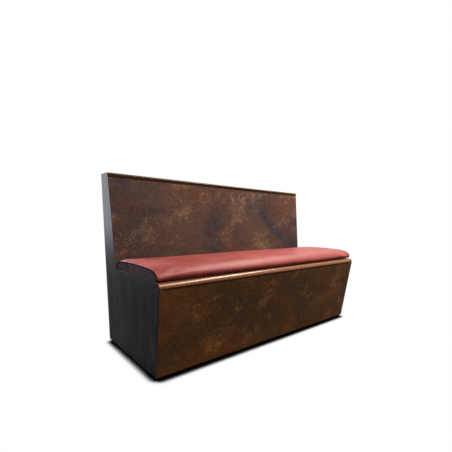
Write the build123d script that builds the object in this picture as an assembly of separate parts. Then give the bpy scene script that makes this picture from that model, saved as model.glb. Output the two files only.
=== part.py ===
from build123d import *
import math
import os

os.makedirs("parts", exist_ok=True)

# A straight restaurant banquette: a boxed seat with a low reclining back, faced in laminate,
# and one seat cushion that lifts off. The length runs along X, the front faces -Y and Z = 0 is
# the floor. A place in a cross-section is (depth, height), and depth is measured forward from
# the rear face. All sizes are in millimetres.

# Overall sizes
overall_length = 1500.0
overall_depth = 612.0
overall_height = 910.0
floor_gap = 15.0
seat_height = 432.0  # the hard seat, under the cushion
front_toe_in = 47.0  # how far the front leans in at its foot
back_bottom_depth = 147.0  # thickness of the back at the hard seat
back_top_depth = 96.0  # thickness of the back under its cap

# Sheets and boards
skin = 1.2
skin_edge_bevel = 0.4
side_thickness = 19.0
front_thickness = 18.0
back_thickness = 16.0
deck_thickness = 18.0
partition_thickness = 18.0
rear_thickness = 8.0

# Mouldings
nosing_depth = 32.0
nosing_height = 28.0
nosing_radius = 16.0
nosing_lower_radius = 11.0
cap_height = 23.0
cap_radius = 8.0
moulding_edge_radius = 1.5

# Rails
rail_thickness = 22.0
seat_rail_height = 70.0
top_rail_height = 70.0
bottom_rail_height = 60.0
lower_rail_height = 60.0

# Levelling feet, each a nylon pad that swivels on the ball of a threaded stud
block_width = 60.0
block_height = 40.0
foot_pad_radius = 17.0
foot_pad_rim = 3.0
foot_pad_neck_radius = 8.5
foot_pad_height = 10.0
foot_pad_bevel = 1.0
foot_pad_dome_radius = 24.0
ball_radius = 5.5
ball_height = 7.0  # centre of the ball above the floor
ball_clearance = 0.1
stud_radius = 4.0
stud_height = 50.0  # top of the stud above the floor
stud_bevel = 1.0
collar_width = 13.0  # across the flats of the hexagon
collar_gap = 0.4  # from the pad up to the collar, and from the collar up to the insert
insert_radius = 6.0
insert_length = 20.0
insert_flange_radius = 9.0
insert_flange = 1.5
thread_clearance = 0.05

# Fasteners
bore_clearance = 0.1
dowel_radius = 4.0
dowel_in_side = 12.0
dowel_in_board = 22.0
dowel_end_gap = 0.5
side_screw_radius = 3.0
side_screw_head = 5.0
side_screw_length = 50.0
deck_screw_radius = 2.0
deck_screw_head = 4.0
deck_screw_length = 40.0
rear_screw_radius = 1.75
rear_screw_head = 3.5
rear_screw_length = 25.0
nosing_screw_radius = 2.0
nosing_screw_head = 4.0
nosing_screw_length = 44.0

# Cushion
cushion_rear_gap = 1.0  # from the back's face to the cushion at the seat
cushion_front_setback = 20.0  # from the nosing's front to the cushion's front
cushion_rear_side = 27.0
cushion_rear_shoulder = 52.0
cushion_rear_shoulder_height = 49.0
cushion_crown_depth = 217.0
cushion_crown_height = 56.5
cushion_front_shoulder = 46.0
cushion_front_shoulder_height = 47.0
cushion_roll_height = 16.0
cushion_tuck = 11.0
cushion_draw_in = 5.0
cushion_end_gap = 2.0  # from the side skins' outer faces in to the piping
cover_thickness = 1.2
cover_turn_in = 38.0
piping_radius = 2.2
piping_sink = 1.2  # how far the piping's centre lies inside the cushion's outline
seam_gap = 0.15  # between the piping and the two panels that it joins
cushion_board_thickness = 12.0
cushion_board_edge = 8.0  # foam that wraps each edge of the board
cushion_board_corner = 12.0
cloth_thickness = 0.5
cloth_gap = 0.4
strip_thickness = 1.5
strip_width = 50.0
strip_margin = 66.0  # from the cushion's front and rear edges to the ends of the strips
strip_gap = 0.3
staple_crown = 10.0
staple_leg = 6.0
staple_wire = 0.6
staple_pitch = 120.0
staple_edge = 12.0

# A cut runs past the piece by this much
overrun = 1.0

# Shares of a length or height that place repeated pieces, chosen by hand
board_dowel_shares = (0.15, 0.5, 0.85)
cap_dowel_shares = (-0.8, -0.3, 0.3, 0.8)
rail_screw_shares = (0.25, 0.75)
deck_screw_shares = (-0.85, -0.35, 0.35, 0.85)
deck_side_screw_shares = (0.3, 0.75)
rear_side_screw_shares = (0.12, 0.37, 0.63, 0.88)
rear_rail_screw_shares = (-0.6, -0.2, 0.2, 0.6)
nosing_screw_shares = (-0.93, -0.6, -0.15, 0.15, 0.6, 0.93)
strip_place_shares = (-0.84, -0.42, 0.05, 0.46, 0.84)

# The cushion's cross-sections from end to end: place, crown and how far the front is drawn in
station_shares = (-1.0, -0.94, -0.55, 0.0, 0.55, 0.94, 1.0)
crown_shares = (0.945, 0.995, 1.005, 1.01, 1.005, 0.995, 0.945)
draw_shares = (1.0, 0.3, 0.0, 0.0, 0.0, 0.3, 1.0)

# How much of its shorter side each rounded corner of the cushion takes, rear bottom corner first
cushion_round_shares = (0.15, 0.45, 0.48, 0.4, 0.48, 0.64, 0.14)

# Places that follow from the sizes
half_length = overall_length / 2
front_bottom_depth = overall_depth - front_toe_in
inner_half = half_length - skin
frame_half = inner_half - side_thickness
nosing_bottom = seat_height - nosing_height
nosing_rear = overall_depth - nosing_depth
deck_bottom = seat_height - deck_thickness
cap_bottom = overall_height - cap_height
front_lean = front_toe_in / (nosing_bottom - floor_gap)
back_lean = (back_bottom_depth - back_top_depth) / (cap_bottom - seat_height)
front_slant = math.hypot(1, front_lean)
back_slant = math.hypot(1, back_lean)
front_inset = skin + front_thickness
back_inset = skin + back_thickness


def front_at(height, inset=0.0):
    """Depth, at a height, of the sloping front or of a layer that lies inset behind its face."""
    return front_bottom_depth + (height - floor_gap) * front_lean - inset * front_slant


def back_at(height, inset=0.0):
    """Depth, at a height, of the reclining back or of a layer that lies inset behind its face."""
    return back_bottom_depth - (height - seat_height) * back_lean - inset * back_slant


tongue_rear = back_at(seat_height, back_inset)
upright_front = back_at(seat_height, skin)
lower_rail_top = seat_height + lower_rail_height
front_rail_rear = front_at(floor_gap, front_inset) - rail_thickness
rear_rail_front = rear_thickness + rail_thickness

cushion_board_bottom = seat_height + strip_thickness + strip_gap + strip_thickness + cloth_thickness
cushion_bottom = cushion_board_bottom - cover_thickness
cushion_rear = back_bottom_depth + cushion_rear_gap
cushion_front = overall_depth - cushion_front_setback
piping_centre = half_length - cushion_end_gap - piping_radius
sleeve_half = piping_centre - piping_radius - seam_gap


def row_y(depth):
    """The row's Y at a depth from the rear face."""
    return overall_depth / 2 - depth


def section_plane(x):
    """The cross-section at x, drawn as (depth, height)."""
    return Plane(origin=(x, overall_depth / 2, 0), x_dir=(0, -1, 0), z_dir=(-1, 0, 0))


def outline_face(outline, x, radii=None):
    """The face inside an outline of (depth, height) corners at x, with a radius for each corner."""
    if radii is None:
        line = Polyline(*outline, close=True)
    else:
        line = FilletPolyline(*outline, radius=radii, close=True)
    return make_face(section_plane(x) * line)


def lengthwise(outline, x_low, x_high, radii=None):
    """A piece with one cross-section from x_low to x_high."""
    face = outline_face(outline, x_high, radii)
    return extrude(face, amount=x_high - x_low, dir=(-1, 0, 0))


def rectangle(depth_low, depth_high, bottom, top):
    """The corners of an upright rectangle in a cross-section."""
    return [(depth_low, bottom), (depth_high, bottom), (depth_high, top), (depth_low, top)]


def leaning_sheet(face_at, outer, inner, bottom, top, half_width):
    """A sheet between two insets behind a leaning face, cut level at its bottom and top."""
    outline = [
        (face_at(bottom, inner), bottom),
        (face_at(bottom, outer), bottom),
        (face_at(top, outer), top),
        (face_at(top, inner), top),
    ]
    return lengthwise(outline, -half_width, half_width)


def chair_outline():
    """The whole side face, with the nosing's and the cap's rounding, and a radius for each corner."""
    outline = [
        (0, floor_gap),
        (front_bottom_depth, floor_gap),
        (overall_depth, nosing_bottom),
        (overall_depth, seat_height),
        (back_bottom_depth, seat_height),
        (back_top_depth, cap_bottom),
        (back_top_depth, overall_height),
        (0, overall_height),
    ]
    return outline, [0, 0, 0, nosing_radius, 0, 0, cap_radius, 0]


def rod(start, direction, length, radius):
    """A round rod from a start point along a direction."""
    plane = Plane(origin=start, z_dir=direction)
    return extrude(plane * Circle(radius), amount=length)


def countersunk(start, direction, length, radius, head_radius, grow=0.0):
    """A countersunk screw from its flat head at start, or its bore where grow is the clearance."""
    plane = Plane(origin=start, z_dir=direction)
    head_height = head_radius - radius
    corners = [
        (0, 0),
        (head_radius + grow, 0),
        (radius + grow, head_height),
        (radius + grow, length),
        (0, length),
    ]
    half_section = make_face(Plane.XZ * Polyline(*corners, close=True))
    return plane * revolve(half_section, axis=Axis.Z)


def bored(piece, bores):
    """The piece with each bore that reaches it cut out."""
    box = piece.bounding_box()
    reaching = []
    for bore in bores:
        other = bore.bounding_box()
        apart = (
            other.min.X > box.max.X
            or other.max.X < box.min.X
            or other.min.Y > box.max.Y
            or other.max.Y < box.min.Y
            or other.min.Z > box.max.Z
            or other.max.Z < box.min.Z
        )
        if not apart:
            reaching.append(bore)
    return piece - reaching if reaching else piece


def grouped(solids):
    """Separate solids that share one node."""
    return Compound(children=[solid.solids()[0] for solid in solids])


# The seven rails, each as the cross-section that it keeps from side board to side board


def rail_outlines():
    """Each rail's cross-section. Their leaning sides lie against the front and back boards."""
    seat_rail_bottom = deck_bottom - seat_rail_height
    bottom_rail_top = floor_gap + bottom_rail_height
    top_rail_bottom = cap_bottom - top_rail_height
    lower_rear = back_at(lower_rail_top, back_inset) - rail_thickness
    upper_rear = back_at(cap_bottom, back_inset) - rail_thickness
    return {
        "seat_front_rail": [
            (nosing_rear - rail_thickness, seat_rail_bottom),
            (front_at(seat_rail_bottom, front_inset), seat_rail_bottom),
            (front_at(nosing_bottom, front_inset), nosing_bottom),
            (nosing_rear, nosing_bottom),
            (nosing_rear, deck_bottom),
            (nosing_rear - rail_thickness, deck_bottom),
        ],
        "seat_rear_rail": rectangle(
            tongue_rear, tongue_rear + rail_thickness, seat_rail_bottom, deck_bottom
        ),
        "front_bottom_rail": [
            (front_rail_rear, floor_gap),
            (front_at(floor_gap, front_inset), floor_gap),
            (front_at(bottom_rail_top, front_inset), bottom_rail_top),
            (front_rail_rear, bottom_rail_top),
        ],
        "rear_bottom_rail": rectangle(rear_thickness, rear_rail_front, floor_gap, bottom_rail_top),
        "back_lower_rail": [
            (lower_rear, seat_height),
            (tongue_rear, seat_height),
            (back_at(lower_rail_top, back_inset), lower_rail_top),
            (lower_rear, lower_rail_top),
        ],
        "back_top_rail": [
            (upper_rear, top_rail_bottom),
            (back_at(top_rail_bottom, back_inset), top_rail_bottom),
            (back_at(cap_bottom, back_inset), cap_bottom),
            (upper_rear, cap_bottom),
        ],
        "rear_top_rail": rectangle(rear_thickness, rear_rail_front, top_rail_bottom, cap_bottom),
    }


def rail_screw_places():
    """(depth, height) of each screw that holds a rail's end, at the rail's thinnest thickness."""
    places = []
    for outline in rail_outlines().values():
        rear = min(depth for depth, _ in outline)
        bottom = min(height for _, height in outline)
        top = max(height for _, height in outline)
        for share in rail_screw_shares:
            places.append((rear + rail_thickness / 2, bottom + (top - bottom) * share))
    return places


# Fasteners, and the bores that they need, from the same places


def board_dowel_places():
    """(depth, height) of each dowel in the ends of the front and back boards."""
    places = []
    for share in board_dowel_shares:
        height = floor_gap + (nosing_bottom - floor_gap) * share
        places.append((front_at(height, skin + front_thickness / 2), height))
    for share in board_dowel_shares:
        height = seat_height + (cap_bottom - seat_height) * share
        places.append((back_at(height, skin + back_thickness / 2), height))
    return places


def dowels(grow=0.0, end_gap=0.0):
    """The dowels, or their bores, between boards and side boards and between top rails and cap."""
    rods = []
    length = dowel_in_board + dowel_in_side + end_gap + end_gap
    for depth, height in board_dowel_places():
        for side in (-1, 1):
            start = (side * (frame_half - dowel_in_board - end_gap), row_y(depth), height)
            rods.append(rod(start, (side, 0, 0), length, dowel_radius + grow))
    upper_rear = back_at(cap_bottom, back_inset) - rail_thickness
    for rear in (rear_thickness, upper_rear):
        for share in cap_dowel_shares:
            start = (
                share * frame_half,
                row_y(rear + rail_thickness / 2),
                cap_bottom - dowel_in_board - end_gap,
            )
            rods.append(rod(start, (0, 0, 1), length, dowel_radius + grow))
    return rods


def side_screws(grow=0.0):
    """Screws through the side boards into the rails' ends, their heads under the side skins."""
    screws = []
    for depth, height in rail_screw_places():
        for side in (-1, 1):
            start = (side * inner_half, row_y(depth), height)
            screws.append(
                countersunk(
                    start,
                    (-side, 0, 0),
                    side_screw_length,
                    side_screw_radius,
                    side_screw_head,
                    grow,
                )
            )
    return screws


def deck_screw_places():
    """(x, depth) of each screw through the deck."""
    front = nosing_rear - rail_thickness / 2
    rear = tongue_rear + rail_thickness / 2
    places = [(share * frame_half, front) for share in deck_screw_shares]
    places += [(share * frame_half, rear) for share in deck_screw_shares]
    for x in (-frame_half - side_thickness / 2, 0, frame_half + side_thickness / 2):
        for share in deck_side_screw_shares:
            places.append((x, rear + (front - rear) * share))
    return places


def deck_screws(grow=0.0):
    """Screws down through the deck into the seat rails, side boards and partition."""
    return [
        countersunk(
            (x, row_y(depth), seat_height),
            (0, 0, -1),
            deck_screw_length,
            deck_screw_radius,
            deck_screw_head,
            grow,
        )
        for x, depth in deck_screw_places()
    ]


def rear_screw_places():
    """(x, height) of each screw through the rear panel."""
    places = []
    for x in (-frame_half - side_thickness / 2, 0, frame_half + side_thickness / 2):
        for share in rear_side_screw_shares:
            places.append((x, floor_gap + (cap_bottom - floor_gap) * share))
    for height in (floor_gap + bottom_rail_height / 2, cap_bottom - top_rail_height / 2):
        for share in rear_rail_screw_shares:
            places.append((share * frame_half, height))
    return places


def rear_screws(grow=0.0):
    """Screws from behind through the rear panel, their heads flush with it."""
    return [
        countersunk(
            (x, row_y(0), height),
            (0, -1, 0),
            rear_screw_length,
            rear_screw_radius,
            rear_screw_head,
            grow,
        )
        for x, height in rear_screw_places()
    ]


def nosing_screws(grow=0.0):
    """Screws from inside through the seat's front rail into the nosing."""
    height = (nosing_bottom + deck_bottom) / 2
    return [
        countersunk(
            (share * frame_half, row_y(nosing_rear - rail_thickness), height),
            (0, -1, 0),
            nosing_screw_length,
            nosing_screw_radius,
            nosing_screw_head,
            grow,
        )
        for share in nosing_screw_shares
    ]


# Carcass


def side_board(side, bores):
    """A chair-shaped side board, cut back where the deck, nosing and cap run over it."""
    outline = [
        (rear_thickness, floor_gap),
        (front_at(floor_gap, skin), floor_gap),
        (front_at(nosing_bottom, skin), nosing_bottom),
        (nosing_rear, nosing_bottom),
        (nosing_rear, deck_bottom),
        (upright_front, deck_bottom),
        (upright_front, seat_height),
        (back_at(cap_bottom, skin), cap_bottom),
        (rear_thickness, cap_bottom),
    ]
    ends = sorted((side * frame_half, side * inner_half))
    return bored(lengthwise(outline, *ends), bores)


def side_skin(side):
    """The laminate on a side, the whole chair profile, with a fine bevel round its outer face."""
    outline, radii = chair_outline()
    ends = sorted((side * inner_half, side * half_length))
    sheet = lengthwise(outline, *ends, radii)
    outer = sheet.faces().sort_by(Axis.X)[-1 if side > 0 else 0]
    return chamfer(outer.edges(), skin_edge_bevel)


def centre_partition(rails, bores):
    """The chair-shaped board at mid length, halved over the rails that pass through it."""
    outline = [
        (rear_thickness, floor_gap),
        (front_at(floor_gap, front_inset), floor_gap),
        (front_at(nosing_bottom, front_inset), nosing_bottom),
        (nosing_rear, nosing_bottom),
        (nosing_rear, deck_bottom),
        (tongue_rear, deck_bottom),
        (tongue_rear, seat_height),
        (back_at(cap_bottom, back_inset), cap_bottom),
        (rear_thickness, cap_bottom),
    ]
    board = lengthwise(outline, -partition_thickness / 2, partition_thickness / 2)
    return bored(board - rails, bores)


def seat_deck(bores):
    """The hard seat, with a tongue between the side boards on which the back board stands."""
    corners = [
        (-inner_half, row_y(nosing_rear)),
        (inner_half, row_y(nosing_rear)),
        (inner_half, row_y(upright_front)),
        (frame_half, row_y(upright_front)),
        (frame_half, row_y(tongue_rear)),
        (-frame_half, row_y(tongue_rear)),
        (-frame_half, row_y(upright_front)),
        (-inner_half, row_y(upright_front)),
    ]
    face = make_face(Plane.XY.offset(deck_bottom) * Polyline(*corners, close=True))
    return bored(extrude(face, amount=deck_thickness, dir=(0, 0, 1)), bores)


def seat_nosing(bores):
    """The rounded moulding along the seat's front edge."""
    outline = rectangle(nosing_rear, overall_depth, nosing_bottom, seat_height)
    radii = [0, nosing_lower_radius, nosing_radius, 0]
    return bored(lengthwise(outline, -inner_half, inner_half, radii), bores)


def top_cap(bores):
    """The moulding along the top of the back."""
    outline = rectangle(0, back_top_depth, cap_bottom, overall_height)
    radii = [0, moulding_edge_radius, cap_radius, moulding_edge_radius]
    return bored(lengthwise(outline, -inner_half, inner_half, radii), bores)


# Levelling feet


def foot_places():
    """Name and (x, depth) of each foot: under the side boards and beside the partition."""
    front = front_rail_rear - block_width / 2
    rear = rear_rail_front + block_width / 2
    across = {
        "left": -frame_half + block_width / 2,
        "middle": (partition_thickness + block_width) / 2,
        "right": frame_half - block_width / 2,
    }
    return {
        f"{row}_{column}": (x, depth)
        for row, depth in (("front", front), ("rear", rear))
        for column, x in across.items()
    }


def at_foot(place):
    """Moves a piece that is drawn round the Z axis to a foot."""
    x, depth = place
    return Pos(x, row_y(depth), 0)


def foot_block():
    """A glued corner block with a stepped bore for its threaded insert and the stud."""
    square = Plane.XY.offset(floor_gap) * Rectangle(block_width, block_width)
    block = extrude(square, amount=block_height)
    below = floor_gap - overrun
    flange_bore = rod(
        (0, 0, below), (0, 0, 1), insert_flange + overrun, insert_flange_radius + bore_clearance
    )
    insert_bore = rod(
        (0, 0, below), (0, 0, 1), insert_length + overrun, insert_radius + bore_clearance
    )
    stud_bore = rod(
        (0, 0, below), (0, 0, 1), block_height + overrun + overrun, stud_radius + bore_clearance
    )
    return block - flange_bore - insert_bore - stud_bore


def foot_insert():
    """A flanged sleeve whose thread takes the stud."""
    flange = rod((0, 0, floor_gap), (0, 0, 1), insert_flange, insert_flange_radius)
    sleeve = rod((0, 0, floor_gap), (0, 0, 1), insert_length, insert_radius)
    hole = rod(
        (0, 0, floor_gap - overrun),
        (0, 0, 1),
        insert_length + overrun + overrun,
        stud_radius + thread_clearance,
    )
    return flange + sleeve - hole


def foot_pad():
    """The glide: a flat disc with a domed neck that closes over the stud's ball."""
    bevel_start = (foot_pad_radius - foot_pad_bevel, 0)
    bevel_end = (foot_pad_radius, foot_pad_bevel)
    rim = (foot_pad_radius, foot_pad_rim)
    neck = (foot_pad_neck_radius, foot_pad_height)
    profile = [
        Line((0, 0), bevel_start),
        Line(bevel_start, bevel_end),
        Line(bevel_end, rim),
        RadiusArc(rim, neck, foot_pad_dome_radius),
        Line(neck, (0, foot_pad_height)),
        Line((0, foot_pad_height), (0, 0)),
    ]
    body = revolve(make_face(Plane.XZ * Curve(children=profile)), axis=Axis.Z)
    socket = Pos(0, 0, ball_height) * Sphere(ball_radius + ball_clearance)
    throat = rod((0, 0, ball_height), (0, 0, 1), foot_pad_height, stud_radius + ball_clearance)
    return body - socket - throat


def foot_stud():
    """The threaded stud, with the ball that the pad swivels on and a hexagon for the spanner."""
    ball = Pos(0, 0, ball_height) * Sphere(ball_radius)
    shank = rod((0, 0, ball_height), (0, 0, 1), stud_height - ball_height, stud_radius)
    shank = chamfer(shank.faces().sort_by(Axis.Z)[-1].edges(), stud_bevel)
    collar_bottom = foot_pad_height + collar_gap
    hexagon = RegularPolygon(collar_width / 2, side_count=6, major_radius=False)
    collar = extrude(
        Plane.XY.offset(collar_bottom) * hexagon, amount=floor_gap - collar_gap - collar_bottom
    )
    return ball + shank + collar


# Cushion


def cushion_corners(crown_share, draw_share):
    """The cushion's outline as (depth, height above its underside), rear bottom corner first."""
    front = cushion_front - cushion_draw_in * draw_share
    return [
        (cushion_rear, 0),
        (cushion_rear, cushion_rear_side * crown_share),
        (cushion_rear + cushion_rear_shoulder, cushion_rear_shoulder_height * crown_share),
        (cushion_rear + cushion_crown_depth, cushion_crown_height * crown_share),
        (front - cushion_front_shoulder, cushion_front_shoulder_height * crown_share),
        (front, cushion_roll_height),
        (front - cushion_tuck, 0),
    ]


def rounding_radii(corners):
    """A radius for each corner, so that its arc takes its share of the shorter side beside it."""
    radii = []
    for index, share in enumerate(cushion_round_shares):
        before, corner = corners[index - 1], corners[index]
        after = corners[(index + 1) % len(corners)]
        arriving = math.atan2(corner[1] - before[1], corner[0] - before[0])
        leaving = math.atan2(after[1] - corner[1], after[0] - corner[0])
        turn = (arriving - leaving) % math.tau
        shorter = min(math.dist(before, corner), math.dist(corner, after))
        radii.append(share * shorter / math.tan(turn / 2))
    return radii


def drawn_inside(corners, inset):
    """The corners of a convex outline moved inside it, so that each side moves in by the inset."""
    moved = []
    for index, (depth, height) in enumerate(corners):
        before = corners[index - 1]
        after = corners[(index + 1) % len(corners)]
        normals = []
        for (x1, y1), (x2, y2) in ((before, (depth, height)), ((depth, height), after)):
            run = math.hypot(x2 - x1, y2 - y1)
            normals.append(((y2 - y1) / run, -(x2 - x1) / run))
        (a, b), (c, d) = normals
        scale = inset / (1 + a * c + b * d)
        moved.append((depth + (a + c) * scale, height + (b + d) * scale))
    return moved


def cushion_section(index, inset):
    """The outline's corners, at real height, and radii at one of the stations."""
    corners = drawn_inside(cushion_corners(crown_shares[index], draw_shares[index]), inset)
    raised = [(depth, height + cushion_bottom) for depth, height in corners]
    return raised, rounding_radii(raised)


def cushion_body(inset):
    """The crowned body of the cushion between its sewn ends, inset below the cover's surface."""
    faces = []
    for index, share in enumerate(station_shares):
        corners, radii = cushion_section(index, inset)
        faces.append(outline_face(corners, share * sleeve_half, radii))
    return loft(faces)


def cushion_board():
    """The plywood base, with rounded corners."""
    depth = cushion_front - cushion_tuck - cushion_board_edge - (cushion_rear + cushion_board_edge)
    half_width = sleeve_half - cushion_board_edge
    middle = (cushion_front - cushion_tuck + cushion_rear) / 2
    base = Pos(0, row_y(middle), cushion_board_bottom) * RectangleRounded(
        half_width + half_width, depth, cushion_board_corner
    )
    return extrude(base, amount=cushion_board_thickness)


def piping(side):
    """The welt along the sewn edge at one end, from the rear of the underside to its front."""
    corners, radii = cushion_section(0, piping_sink)
    line = FilletPolyline(*corners, radius=radii[1:-1])
    path = section_plane(side * piping_centre) * line
    profile = Plane(origin=path @ 0, z_dir=path % 0) * Circle(piping_radius)
    return sweep(profile, path=path)


def end_panel(side):
    """The D-shaped panel at one end of the cover, inside the ring of its piping."""
    corners, radii = cushion_section(0, piping_sink + piping_radius + seam_gap)
    inner = sleeve_half + seam_gap
    ends = sorted((side * inner, side * (inner + cover_thickness)))
    return lengthwise(corners, *ends, radii)


def under_opening(margin, bottom, top):
    """A box under the cushion that stays a margin inside the underside's edges."""
    outline = rectangle(cushion_rear + margin, cushion_front - cushion_tuck - margin, bottom, top)
    return lengthwise(outline, -sleeve_half + margin, sleeve_half - margin)


def cushion_cover(body, filling, bores):
    """The leatherette sleeve, turned in under the board's edges."""
    opening = under_opening(cover_turn_in, cushion_bottom - overrun, cushion_board_bottom + overrun)
    return body - filling - opening - bores


def strips(bottom):
    """Fastening strips that run from front to rear, with their underside at a height."""
    rear = cushion_rear + strip_margin
    front = cushion_front - cushion_tuck - strip_margin
    middle = (rear + front) / 2
    solids = []
    for share in strip_place_shares:
        base = Pos(share * frame_half, row_y(middle), bottom) * Rectangle(strip_width, front - rear)
        solids.append(extrude(base, amount=strip_thickness))
    return solids


def staple_places():
    """(x, depth, turn in degrees) of each staple along the turned-in edges."""
    half = sleeve_half - cushion_board_edge - staple_edge
    rear = cushion_rear + cushion_board_edge + staple_edge
    front = cushion_front - cushion_tuck - cushion_board_edge - staple_edge
    places = []
    count = round((half + half) / staple_pitch)
    for index in range(count + 1):
        x = -half + index * (half + half) / count
        places += [(x, depth, 0) for depth in (rear, front)]
    end_count = round((front - rear) / staple_pitch)
    for index in range(1, end_count):
        depth = rear + index * (front - rear) / end_count
        places += [(x, depth, 90) for x in (-half, half)]
    return places


def staple_legs(grow=0.0):
    """The two legs of a staple over the origin, or their bores where grow is the clearance."""
    width = staple_wire + grow + grow
    height = staple_wire + cover_thickness + staple_leg + grow
    place = (staple_crown - staple_wire) / 2
    return [extrude(Pos(side * place, 0, 0) * Rectangle(width, width), amount=height)
            for side in (-1, 1)]


def staples():
    """Staples from below, each crown on the turned-in cover and its legs up in the board."""
    crown = extrude(Rectangle(staple_crown, staple_wire), amount=staple_wire)
    solid = crown + staple_legs()
    bottom = cushion_bottom - staple_wire
    return [Pos(x, row_y(depth), bottom) * Rot(0, 0, turn) * solid
            for x, depth, turn in staple_places()]


def staple_bores():
    """The bores of the staples' legs."""
    bottom = cushion_bottom - staple_wire
    return [Pos(x, row_y(depth), bottom) * Rot(0, 0, turn) * leg
            for x, depth, turn in staple_places() for leg in staple_legs(thread_clearance)]


def carcass_pieces():
    """Every piece of the fixed carcass by its node's name."""
    dowel_bores = dowels(bore_clearance, dowel_end_gap)
    side_bores = side_screws(bore_clearance)
    deck_bores = deck_screws(bore_clearance)
    rear_bores = rear_screws(bore_clearance)
    nosing_bores = nosing_screws(bore_clearance)
    all_bores = dowel_bores + side_bores + deck_bores + rear_bores + nosing_bores
    rails = {
        name: lengthwise(outline, -frame_half, frame_half)
        for name, outline in rail_outlines().items()
    }
    pieces = {
        "left_side_board": side_board(-1, all_bores),
        "right_side_board": side_board(1, all_bores),
        "left_side_skin": side_skin(-1),
        "right_side_skin": side_skin(1),
        "centre_partition": centre_partition(list(rails.values()), deck_bores + rear_bores),
        "front_board": bored(
            leaning_sheet(front_at, skin, front_inset, floor_gap, nosing_bottom, frame_half),
            dowel_bores,
        ),
        "front_skin": leaning_sheet(front_at, 0, skin, floor_gap, nosing_bottom, inner_half),
        "back_board": bored(
            leaning_sheet(back_at, skin, back_inset, seat_height, cap_bottom, frame_half),
            dowel_bores,
        ),
        "back_skin": leaning_sheet(back_at, 0, skin, seat_height, cap_bottom, inner_half),
        "seat_deck": seat_deck(deck_bores),
        "seat_nosing": seat_nosing(nosing_bores),
        "top_cap": top_cap(dowel_bores),
        "rear_panel": bored(
            lengthwise(rectangle(0, rear_thickness, floor_gap, cap_bottom), -inner_half, inner_half),
            rear_bores,
        ),
    }
    for name, rail in rails.items():
        pieces[name] = bored(rail, all_bores)
    places = foot_places().values()
    pieces["foot_blocks"] = grouped([at_foot(place) * foot_block() for place in places])
    pieces["foot_inserts"] = grouped([at_foot(place) * foot_insert() for place in places])
    pieces["frame_dowels"] = grouped(dowels())
    pieces["side_screws"] = grouped(side_screws())
    pieces["deck_screws"] = grouped(deck_screws())
    pieces["rear_panel_screws"] = grouped(rear_screws())
    pieces["nosing_screws"] = grouped(nosing_screws())
    pieces["deck_hook_strips"] = grouped(strips(seat_height))
    return pieces


def cushion_pieces():
    """Every piece of the loose cushion by its node's name."""
    body = cushion_body(0)
    filling = cushion_body(cover_thickness)
    board = cushion_board()
    bores = staple_bores()
    loop_bottom = seat_height + strip_thickness + strip_gap
    cloth_margin = cover_turn_in + cloth_gap
    return {
        "cushion_board": board - bores,
        "cushion_foam": filling - board,
        "cushion_cover": cushion_cover(body, filling, bores),
        "cushion_left_end": end_panel(-1),
        "cushion_right_end": end_panel(1),
        "cushion_left_piping": piping(-1),
        "cushion_right_piping": piping(1),
        "cushion_underside_cloth": under_opening(
            cloth_margin, cushion_board_bottom - cloth_thickness, cushion_board_bottom
        ),
        "cushion_staples": grouped(staples()),
        "cushion_loop_strips": grouped(strips(loop_bottom)),
    }


def foot_pieces():
    """The pad and the stud of each foot, in nodes of their own because they move apart."""
    pieces = {}
    for name, place in foot_places().items():
        pieces[f"{name}_foot_pad"] = at_foot(place) * foot_pad()
        pieces[f"{name}_foot_stud"] = at_foot(place) * foot_stud()
    return pieces


def main():
    """Builds every piece and writes each one to its own file."""
    pieces = {**carcass_pieces(), **cushion_pieces(), **foot_pieces()}
    for name, piece in pieces.items():
        export_step(piece, f"parts/{name}.step")
    print(len(pieces), "nodes")


main()
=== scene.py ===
"""A straight restaurant banquette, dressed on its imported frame.

The carcass keeps its solids and gets laminate, varnish, raw board, steel and nylon. The seat cushion is
sewn anew: a sleeve blown up by a cloth simulation, two D-shaped ends, welts, stitches and a turned-in hem.
Lengths are metres; a depth is measured forward from the banquette's rear face, so y = rear - depth.
"""

import logging
import math
from dataclasses import dataclass
from enum import Enum
from typing import Any

import bmesh
import bpy
import numpy as np
from mathutils import Matrix, Vector


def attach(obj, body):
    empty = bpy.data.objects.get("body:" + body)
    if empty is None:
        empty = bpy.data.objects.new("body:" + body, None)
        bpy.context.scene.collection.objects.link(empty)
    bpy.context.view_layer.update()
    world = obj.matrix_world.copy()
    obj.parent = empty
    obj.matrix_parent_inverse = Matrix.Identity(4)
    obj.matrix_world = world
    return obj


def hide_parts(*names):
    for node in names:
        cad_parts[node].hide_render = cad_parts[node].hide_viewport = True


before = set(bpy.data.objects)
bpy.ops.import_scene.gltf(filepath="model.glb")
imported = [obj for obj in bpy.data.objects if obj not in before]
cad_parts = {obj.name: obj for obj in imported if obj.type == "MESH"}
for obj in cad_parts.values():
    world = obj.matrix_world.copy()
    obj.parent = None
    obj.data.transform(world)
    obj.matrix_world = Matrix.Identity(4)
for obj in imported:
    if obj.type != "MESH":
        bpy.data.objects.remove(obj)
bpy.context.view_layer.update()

log = logging.getLogger("banquette")
MM = 0.001


# Small helpers


def linear(code: str) -> tuple[float, float, float, float]:
    """Turns an sRGB hex colour into linear RGBA.

    Args:
        code: a colour such as "#8a6a50".

    Returns:
        Linear red, green, blue and an alpha of 1.
    """
    values = np.array([int(code[i : i + 2], 16) for i in (1, 3, 5)]) / 255.0
    out = np.where(values <= 0.04045, values / 12.92, ((values + 0.055) / 1.055) ** 2.4)
    return (*out.tolist(), 1.0)


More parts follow.
